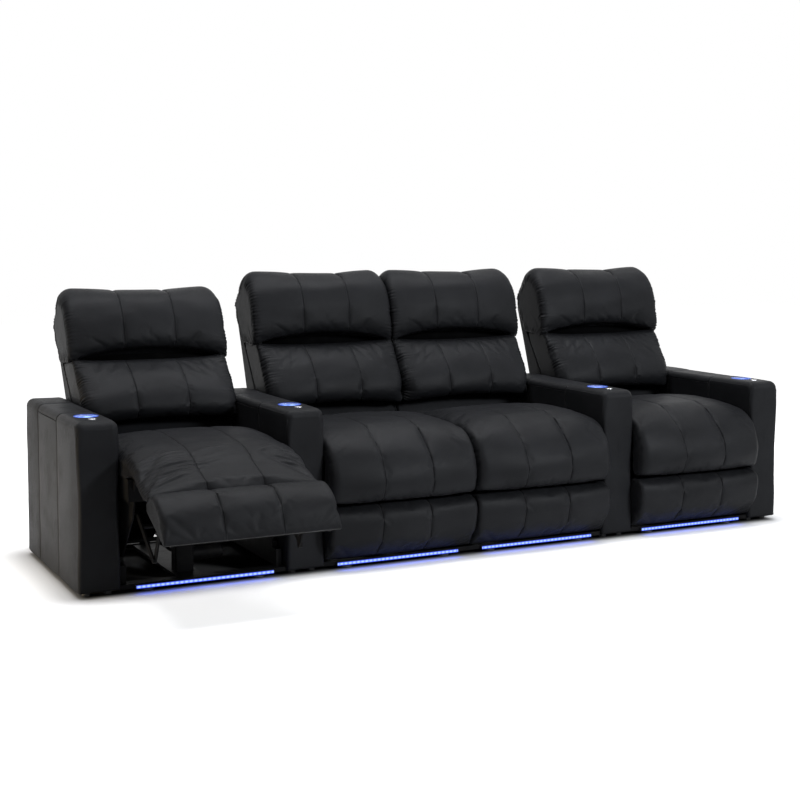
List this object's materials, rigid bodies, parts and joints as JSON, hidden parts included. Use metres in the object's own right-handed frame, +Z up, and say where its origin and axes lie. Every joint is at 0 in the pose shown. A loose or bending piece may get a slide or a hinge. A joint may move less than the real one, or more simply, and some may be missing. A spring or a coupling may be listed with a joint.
{
  "type": "cinema recliner seat row",
  "caption": "Row of joined powered cinema recliners in channelled leather, with shared storage arms, cup holders and light strips.",
  "frame": {"origin": "floor level, at the middle of the row's width and depth as stored", "axes": "+X along the row to the right as one faces it, +Y towards the back, +Z up; the seats face -Y"},
  "size_m": [3.14, 1.4544, 1.124],
  "materials": {
    "leather": "semi-matte, fine grain",
    "black_steel": "satin black",
    "brushed_steel": "brushed",
    "silver": "satin",
    "black_plastic": "matte",
    "light_strip": "clear lens over blue light points"
  },
  "bodies": {
    "base": {"arm_1_body": "leather", "arm_2_body": "leather", "arm_3_body": "leather", "arm_4_body": "leather", "cup_holders": "brushed_steel", "button_housings": "black_plastic", "feet": "black_plastic", "base_frames": "black_steel", "power_units": "black_plastic", "light_strips": "light_strip", "power_inlets": "black_plastic"},
    "carriage_1": {"seat_1_frame": "black_steel", "seat_1_cushion": "leather"},
    "footrest_1": {"seat_1_front_roll": "leather", "seat_1_footrest_frame": "black_steel", "seat_1_footrest_pad": "leather"},
    "lift_links_1": {"seat_1_lift_links": "black_steel"},
    "rest_links_1": {"seat_1_rest_links": "black_steel"},
    "back_1": {"seat_1_back_shell": "leather", "seat_1_lumbar_pillow": "leather", "seat_1_head_pillow": "leather"},
    "carriage_2": {"seat_2_frame": "black_steel", "seat_2_cushion": "leather"},
    "footrest_2": {"seat_2_front_roll": "leather", "seat_2_footrest_frame": "black_steel", "seat_2_footrest_pad": "leather"},
    "lift_links_2": {"seat_2_lift_links": "black_steel"},
    "rest_links_2": {"seat_2_rest_links": "black_steel"},
    "back_2": {"seat_2_back_shell": "leather", "seat_2_lumbar_pillow": "leather", "seat_2_head_pillow": "leather"},
    "carriage_3": {"seat_3_frame": "black_steel", "seat_3_cushion": "leather"},
    "footrest_3": {"seat_3_front_roll": "leather", "seat_3_footrest_frame": "black_steel", "seat_3_footrest_pad": "leather"},
    "lift_links_3": {"seat_3_lift_links": "black_steel"},
    "rest_links_3": {"seat_3_rest_links": "black_steel"},
    "back_3": {"seat_3_back_shell": "leather", "seat_3_lumbar_pillow": "leather", "seat_3_head_pillow": "leather"},
    "carriage_4": {"seat_4_frame": "black_steel", "seat_4_cushion": "leather"},
    "footrest_4": {"seat_4_front_roll": "leather", "seat_4_footrest_frame": "black_steel", "seat_4_footrest_pad": "leather"},
    "lift_links_4": {"seat_4_lift_links": "black_steel"},
    "rest_links_4": {"seat_4_rest_links": "black_steel"},
    "back_4": {"seat_4_back_shell": "leather", "seat_4_lumbar_pillow": "leather", "seat_4_head_pillow": "leather"},
    "lid_1": {"arm_1_lid": "leather"},
    "button_1": {"arm_1_button": "silver"},
    "lid_2": {"arm_2_lid": "leather"},
    "button_2": {"arm_2_button": "silver"},
    "lid_3": {"arm_3_lid": "leather"},
    "button_3": {"arm_3_button": "silver"},
    "lid_4": {"arm_4_lid": "leather"},
    "button_4": {"arm_4_button": "silver"}
  },
  "joints": [
    {"name": "seat_1_frame_slide", "type": "slide", "parent": "base", "child": "carriage_1", "axis": [0, -1, 0], "range_m": [-0.1205, 0.02959]},
    {"name": "seat_1_footrest_open", "type": "hinge", "parent": "carriage_1", "child": "footrest_1", "pos_m": [-1.1025, -0.34213, 0.458], "axis": [-1, 0, 0], "range_deg": [-66, 16]},
    {"name": "seat_1_lift_links_turn", "type": "hinge", "parent": "carriage_1", "child": "lift_links_1", "pos_m": [-1.1025, -0.27213, 0.3], "axis": [-1, 0, 0], "range_deg": [-68.15, 16.9]},
    {"name": "seat_1_rest_links_turn", "type": "hinge", "parent": "footrest_1", "child": "rest_links_1", "pos_m": [-1.1025, -0.53008, 0.31959], "axis": [-1, 0, 0], "range_deg": [-17.01, 68.61]},
    {"name": "seat_1_back_recline", "type": "hinge", "parent": "carriage_1", "child": "back_1", "pos_m": [-1.1025, 0.21787, 0.33], "axis": [-1, 0, 0], "range_deg": [-10, 25]},
    {"name": "seat_2_frame_slide", "type": "slide", "parent": "base", "child": "carriage_2", "axis": [0, -1, 0], "range_m": [0, 0.14959]},
    {"name": "seat_2_footrest_open", "type": "hinge", "parent": "carriage_2", "child": "footrest_2", "pos_m": [-0.3175, -0.22213, 0.458], "axis": [-1, 0, 0], "range_deg": [0, 82]},
    {"name": "seat_2_lift_links_turn", "type": "hinge", "parent": "carriage_2", "child": "lift_links_2", "pos_m": [-0.3175, -0.15213, 0.3], "axis": [-1, 0, 0], "range_deg": [0, 84.55]},
    {"name": "seat_2_rest_links_turn", "type": "hinge", "parent": "footrest_2", "child": "rest_links_2", "pos_m": [-0.3175, -0.17213, 0.23], "axis": [-1, 0, 0], "range_deg": [-85.12, 0]},
    {"name": "seat_2_back_recline", "type": "hinge", "parent": "carriage_2", "child": "back_2", "pos_m": [-0.3175, 0.33787, 0.33], "axis": [-1, 0, 0], "range_deg": [0, 35]},
    {"name": "seat_3_frame_slide", "type": "slide", "parent": "base", "child": "carriage_3", "axis": [0, -1, 0], "range_m": [0, 0.14959]},
    {"name": "seat_3_footrest_open", "type": "hinge", "parent": "carriage_3", "child": "footrest_3", "pos_m": [0.3175, -0.22213, 0.458], "axis": [-1, 0, 0], "range_deg": [0, 82]},
    {"name": "seat_3_lift_links_turn", "type": "hinge", "parent": "carriage_3", "child": "lift_links_3", "pos_m": [0.3175, -0.15213, 0.3], "axis": [-1, 0, 0], "range_deg": [0, 84.55]},
    {"name": "seat_3_rest_links_turn", "type": "hinge", "parent": "footrest_3", "child": "rest_links_3", "pos_m": [0.3175, -0.17213, 0.23], "axis": [-1, 0, 0], "range_deg": [-85.12, 0]},
    {"name": "seat_3_back_recline", "type": "hinge", "parent": "carriage_3", "child": "back_3", "pos_m": [0.3175, 0.33787, 0.33], "axis": [-1, 0, 0], "range_deg": [0, 35]},
    {"name": "seat_4_frame_slide", "type": "slide", "parent": "base", "child": "carriage_4", "axis": [0, -1, 0], "range_m": [0, 0.14959]},
    {"name": "seat_4_footrest_open", "type": "hinge", "parent": "carriage_4", "child": "footrest_4", "pos_m": [1.1025, -0.22213, 0.458], "axis": [-1, 0, 0], "range_deg": [0, 82]},
    {"name": "seat_4_lift_links_turn", "type": "hinge", "parent": "carriage_4", "child": "lift_links_4", "pos_m": [1.1025, -0.15213, 0.3], "axis": [-1, 0, 0], "range_deg": [0, 84.55]},
    {"name": "seat_4_rest_links_turn", "type": "hinge", "parent": "footrest_4", "child": "rest_links_4", "pos_m": [1.1025, -0.17213, 0.23], "axis": [-1, 0, 0], "range_deg": [-85.12, 0]},
    {"name": "seat_4_back_recline", "type": "hinge", "parent": "carriage_4", "child": "back_4", "pos_m": [1.1025, 0.33787, 0.33], "axis": [-1, 0, 0], "range_deg": [0, 35]},
    {"name": "arm_1_lid_open", "type": "hinge", "parent": "base", "child": "lid_1", "pos_m": [-1.495, 0.36887, 0.622], "axis": [-1, 0, 0], "range_deg": [0, 85]},
    {"name": "arm_1_button_press", "type": "slide", "parent": "base", "child": "button_1", "axis": [0, 0, -1], "range_m": [0, 0.0015], "stiffness_N_per_m": 400, "springref_m": -0.001},
    {"name": "arm_2_lid_open", "type": "hinge", "parent": "base", "child": "lid_2", "pos_m": [-0.71, 0.36887, 0.622], "axis": [-1, 0, 0], "range_deg": [0, 85]},
    {"name": "arm_2_button_press", "type": "slide", "parent": "base", "child": "button_2", "axis": [0, 0, -1], "range_m": [0, 0.0015], "stiffness_N_per_m": 400, "springref_m": -0.001},
    {"name": "arm_3_lid_open", "type": "hinge", "parent": "base", "child": "lid_3", "pos_m": [0.71, 0.36887, 0.622], "axis": [-1, 0, 0], "range_deg": [0, 85]},
    {"name": "arm_3_button_press", "type": "slide", "parent": "base", "child": "button_3", "axis": [0, 0, -1], "range_m": [0, 0.0015], "stiffness_N_per_m": 400, "springref_m": -0.001},
    {"name": "arm_4_lid_open", "type": "hinge", "parent": "base", "child": "lid_4", "pos_m": [1.495, 0.36887, 0.622], "axis": [-1, 0, 0], "range_deg": [0, 85]},
    {"name": "arm_4_button_press", "type": "slide", "parent": "base", "child": "button_4", "axis": [0, 0, -1], "range_m": [0, 0.0015], "stiffness_N_per_m": 400, "springref_m": -0.001}
  ],
  "couplings": [
    {"joint": "seat_1_frame_slide", "follows": "seat_1_footrest_open", "m_per_rad": 0.10417},
    {"joint": "seat_1_lift_links_turn", "follows": "seat_1_footrest_open", "ratio": 1.025},
    {"joint": "seat_1_rest_links_turn", "follows": "seat_1_footrest_open", "ratio": -1.032},
    {"joint": "seat_2_frame_slide", "follows": "seat_2_footrest_open", "m_per_rad": 0.10417},
    {"joint": "seat_2_lift_links_turn", "follows": "seat_2_footrest_open", "ratio": 1.025},
    {"joint": "seat_2_rest_links_turn", "follows": "seat_2_footrest_open", "ratio": -1.032},
    {"joint": "seat_3_frame_slide", "follows": "seat_3_footrest_open", "m_per_rad": 0.10417},
    {"joint": "seat_3_lift_links_turn", "follows": "seat_3_footrest_open", "ratio": 1.025},
    {"joint": "seat_3_rest_links_turn", "follows": "seat_3_footrest_open", "ratio": -1.032},
    {"joint": "seat_4_frame_slide", "follows": "seat_4_footrest_open", "m_per_rad": 0.10417},
    {"joint": "seat_4_lift_links_turn", "follows": "seat_4_footrest_open", "ratio": 1.025},
    {"joint": "seat_4_rest_links_turn", "follows": "seat_4_footrest_open", "ratio": -1.032}
  ]
}
